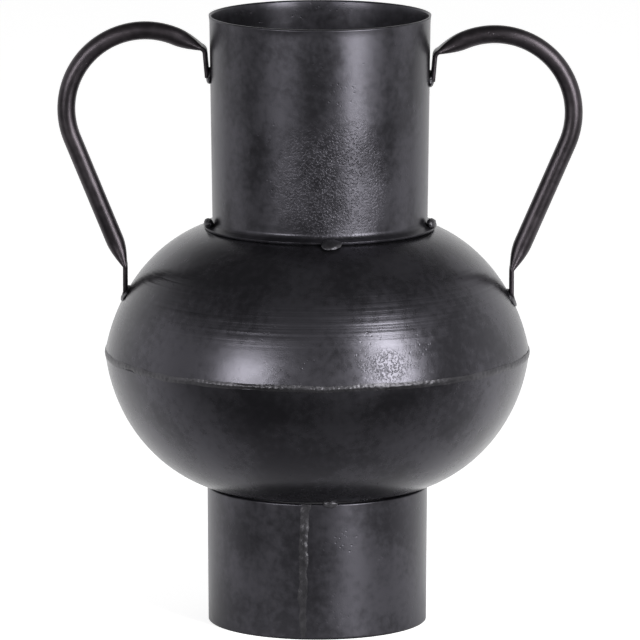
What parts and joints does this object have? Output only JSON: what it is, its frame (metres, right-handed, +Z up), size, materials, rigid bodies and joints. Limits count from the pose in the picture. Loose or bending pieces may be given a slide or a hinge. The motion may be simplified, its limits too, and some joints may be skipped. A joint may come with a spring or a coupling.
{
  "type": "metal vase",
  "caption": "Blackened iron vase with a straight neck, a round welded belly, a ring foot and bent tube handles.",
  "frame": {"origin": "on the neck's axis, on the surface that the foot stands on", "axes": "+Z up, front at -Y, handles along X"},
  "size_m": [0.2739, 0.2238, 0.32],
  "materials": {
    "vase_iron": "blackened, half matt",
    "handle_iron": "blackened, slightly brown",
    "weld_iron": "blackened weld metal"
  },
  "bodies": {
    "root": {"belly_upper_half": "vase_iron", "belly_lower_half": "vase_iron", "foot_ring": "vase_iron", "neck_sleeve": "vase_iron", "left_handle": "handle_iron", "right_handle": "handle_iron", "belly_seam_weld": "weld_iron", "foot_seam_weld": "weld_iron", "neck_seam_weld": "weld_iron", "neck_tack_front": "weld_iron", "neck_tack_right": "weld_iron", "neck_tack_back_right": "weld_iron", "neck_tack_back_left": "weld_iron", "neck_tack_left": "weld_iron", "foot_tack_front": "weld_iron", "foot_tack_right": "weld_iron", "foot_tack_back": "weld_iron", "foot_tack_left": "weld_iron", "left_handle_neck_weld": "weld_iron", "left_handle_belly_weld": "weld_iron", "right_handle_neck_weld": "weld_iron", "right_handle_belly_weld": "weld_iron"}
  },
  "joints": []
}
